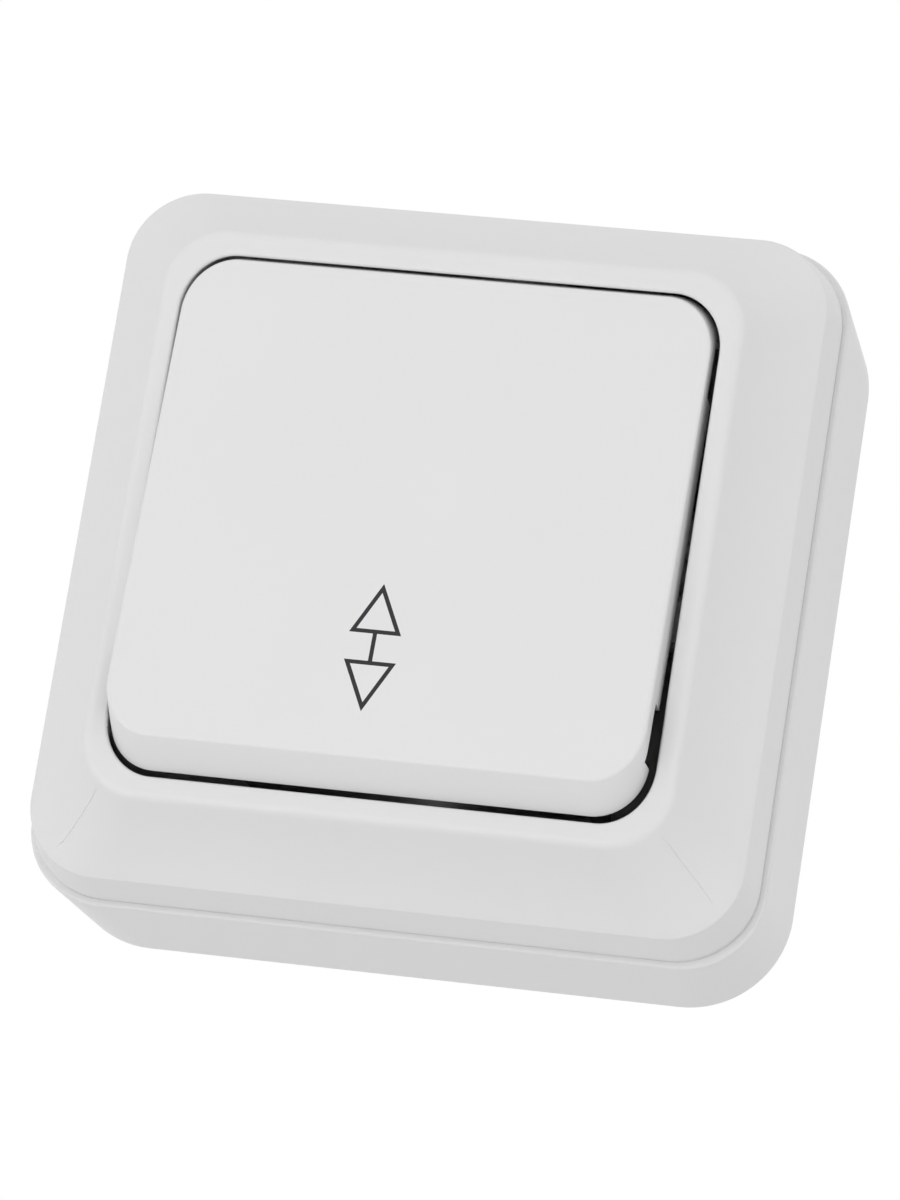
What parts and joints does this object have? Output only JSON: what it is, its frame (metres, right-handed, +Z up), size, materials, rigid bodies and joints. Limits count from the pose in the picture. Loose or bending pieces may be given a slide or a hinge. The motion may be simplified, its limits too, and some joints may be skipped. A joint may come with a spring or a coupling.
{
  "type": "surface-mounted two-way rocker light switch",
  "caption": "Square white surface-mounted light switch with one large tilting rocker key in a sloped cover frame on a shallow back box.",
  "frame": {"origin": "centre of the flat back face, on the wall plane", "axes": "+Z up the wall, +X to the right seen from the front, +Y into the wall; the key faces -Y"},
  "size_m": [0.0712, 0.0323, 0.0712],
  "materials": {
    "white_shell": "fine satin, pure white",
    "key_white": "fine satin, pure white",
    "symbol_ink": "matt printed black",
    "mechanism_grey": "plain moulded grey",
    "carrier_white": "plain moulded off-white",
    "plunger_nylon": "natural nylon",
    "contact_brass": "pressed strip",
    "silver_contact": "silver alloy, turned",
    "zinc_screw": "bright zinc plated",
    "spring_steel": "drawn wire"
  },
  "bodies": {
    "housing": {"base_tray": "white_shell", "cover_frame": "white_shell", "cover_screws": "zinc_screw", "mechanism_block": "mechanism_grey", "mechanism_lid": "mechanism_grey", "mechanism_screws": "zinc_screw", "lid_screws": "zinc_screw", "common_plate": "contact_brass", "upper_contact_strip": "contact_brass", "lower_contact_strip": "contact_brass", "upper_fixed_contact": "silver_contact", "lower_fixed_contact": "silver_contact", "upper_terminal_clamp": "contact_brass", "lower_terminal_clamp": "contact_brass", "common_terminal_clamp": "contact_brass", "terminal_screws": "zinc_screw"},
    "rocker": {"key_cap": "key_white", "key_symbol": "symbol_ink", "rocker_carrier": "carrier_white", "plunger_spring": "spring_steel"},
    "plunger": {"plunger": "plunger_nylon"},
    "blade": {"contact_blade": "contact_brass", "upper_blade_contact": "silver_contact", "lower_blade_contact": "silver_contact"}
  },
  "joints": [
    {"name": "rocker_tilt", "type": "hinge", "parent": "housing", "child": "rocker", "pos_m": [0, -0.0165, 0], "axis": [1, 0, 0], "range_deg": [0, 9.1]},
    {"name": "plunger_slide", "type": "slide", "parent": "rocker", "child": "plunger", "axis": [0, -0.9968, 0.0793], "range_m": [0, 0.0012], "stiffness_N_per_m": 250, "springref_m": -0.002, "deforming": ["plunger_spring"]},
    {"name": "blade_tilt", "type": "hinge", "parent": "housing", "child": "blade", "pos_m": [0, -0.00757, 0], "axis": [1, 0, 0], "range_deg": [-11, 0]}
  ],
  "couplings": [
    {"joint": "blade_tilt", "follows": "rocker_tilt", "ratio": -1.2087}
  ]
}
